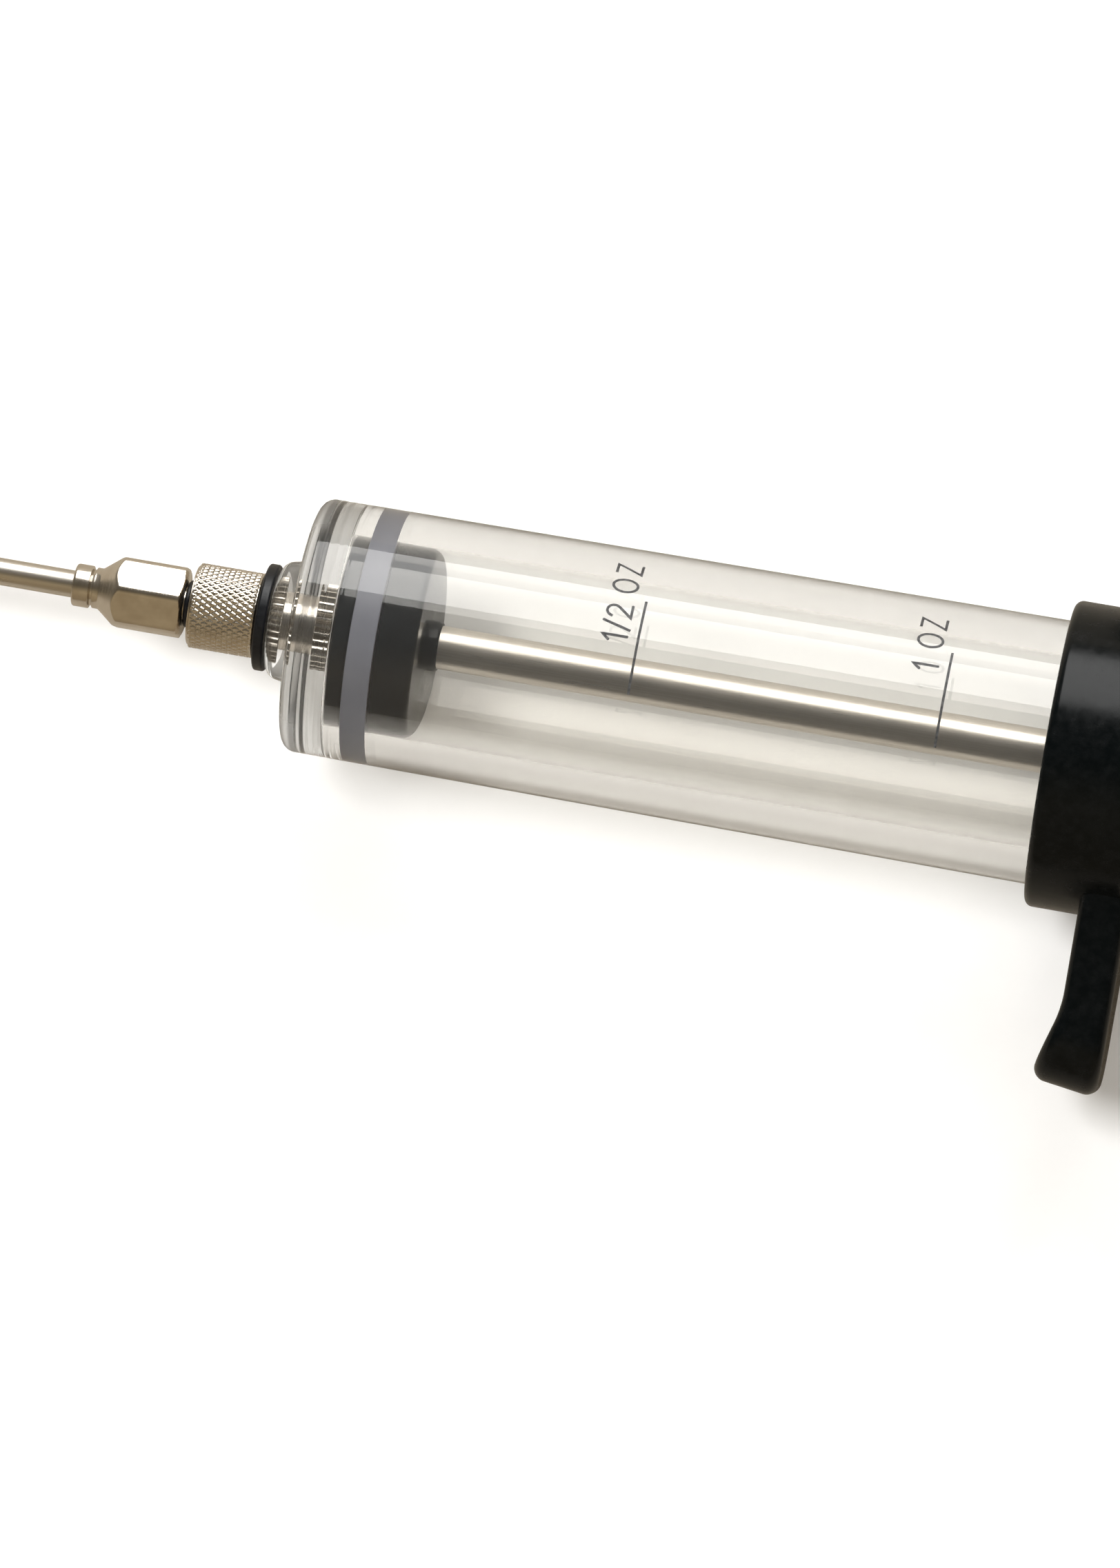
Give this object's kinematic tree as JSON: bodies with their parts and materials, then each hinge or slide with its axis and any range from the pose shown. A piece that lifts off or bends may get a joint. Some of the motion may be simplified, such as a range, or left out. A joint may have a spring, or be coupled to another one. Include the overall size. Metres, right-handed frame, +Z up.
{
  "type": "meat injector",
  "caption": "Marinade injector: hollow needle on a threaded hub, clear graduated barrel, piston on a steel rod, cap with finger wings and a thumb knob.",
  "frame": {"origin": "on the surface the injector lies on, under the middle of its length, between the grip wings' tips", "axes": "+Z up; X along the barrel's axis, needle towards -X and thumb knob towards +X; the grip wings lie along Y"},
  "size_m": [0.227, 0.0766, 0.0359],
  "materials": {
    "clear_plastic": "gloss",
    "nickel_plate": "polished",
    "stainless_steel": "satin",
    "black_rubber": "matte",
    "piston_black": "gloss",
    "seal_silicone": "satin",
    "black_moulding": "gloss",
    "white_nylon": "satin",
    "brass_insert": "satin"
  },
  "bodies": {
    "barrel": {"barrel": "clear_plastic", "threaded_insert": "nickel_plate"},
    "nose_washer": {"nose_washer": "black_rubber"},
    "adaptor": {"knurled_adaptor": "nickel_plate"},
    "hub_ring": {"hub_o_ring": "black_rubber"},
    "needle": {"needle_hub": "nickel_plate", "cannula": "stainless_steel"},
    "seal": {"piston_seal": "seal_silicone"},
    "plunger": {"piston_front_disc": "piston_black", "piston_rear_disc": "piston_black", "piston_screw": "stainless_steel", "plunger_rod": "stainless_steel", "knob_jam_nut": "stainless_steel", "knob_washer": "stainless_steel", "knob_insert": "brass_insert", "thumb_knob": "black_moulding"},
    "guide": {"rod_guide": "white_nylon", "guide_o_ring": "black_rubber", "o_ring_retainer": "stainless_steel"},
    "cap": {"grip_cap": "black_moulding"}
  },
  "joints": [
    {"name": "plunger_stroke", "type": "slide", "parent": "barrel", "child": "seal", "axis": [1, 0, 0], "range_m": [0, 0.078]},
    {"name": "plunger_spin", "type": "hinge", "parent": "seal", "child": "plunger", "pos_m": [-0.0085, 0, 0.01795], "axis": [1, 0, 0], "continuous": true},
    {"name": "cap_travel", "type": "slide", "parent": "barrel", "child": "guide", "axis": [1, 0, 0], "range_m": [0, 0.004]},
    {"name": "cap_turn", "type": "hinge", "parent": "guide", "child": "cap", "pos_m": [0.0795, 0, 0.01795], "axis": [1, 0, 0], "range_deg": [0, 720]},
    {"name": "adaptor_travel", "type": "slide", "parent": "barrel", "child": "nose_washer", "axis": [-1, 0, 0], "range_m": [0, 0.0056]},
    {"name": "adaptor_turn", "type": "hinge", "parent": "nose_washer", "child": "adaptor", "pos_m": [-0.0255, 0, 0.01795], "axis": [-1, 0, 0], "range_deg": [0, 2880]},
    {"name": "needle_travel", "type": "slide", "parent": "adaptor", "child": "hub_ring", "axis": [-1, 0, 0], "range_m": [0, 0.003]},
    {"name": "needle_turn", "type": "hinge", "parent": "hub_ring", "child": "needle", "pos_m": [-0.0345, 0, 0.01795], "axis": [-1, 0, 0], "range_deg": [0, 1080]}
  ],
  "couplings": [
    {"joint": "cap_turn", "follows": "cap_travel", "rad_per_m": 3141.6},
    {"joint": "adaptor_turn", "follows": "adaptor_travel", "rad_per_m": 8976},
    {"joint": "needle_turn", "follows": "needle_travel", "rad_per_m": 6283.2}
  ]
}
